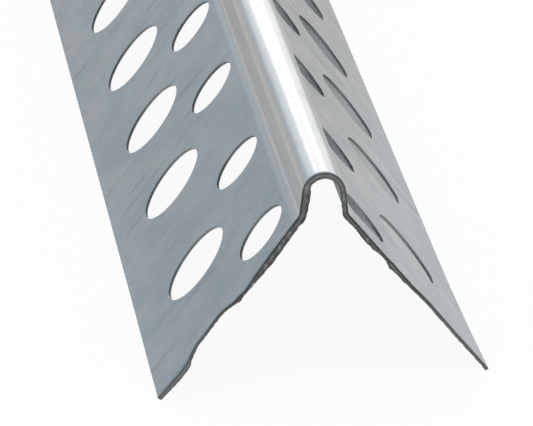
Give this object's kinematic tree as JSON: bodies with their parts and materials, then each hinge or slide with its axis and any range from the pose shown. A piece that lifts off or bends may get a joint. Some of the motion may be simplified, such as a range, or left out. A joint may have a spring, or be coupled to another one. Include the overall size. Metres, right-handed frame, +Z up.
{
  "type": "drywall corner bead",
  "caption": "Long perforated galvanised steel angle with a raised round nose, set over an outside drywall corner to hold and guide joint compound.",
  "frame": {"origin": "middle of the floor under the bead, which stands nose up on its two free edges", "axes": "+Y along the length, away from the sheared end; +Z up through the nose; +X to the right flange seen from the sheared end"},
  "size_m": [0.0426, 2.4384, 0.0293],
  "materials": {
    "galvanised_sheet": "roll-formed galvanised steel, dull grey zinc with fine lengthwise rolling lines"
  },
  "bodies": {
    "root": {"corner_bead": "galvanised_sheet"}
  },
  "joints": []
}
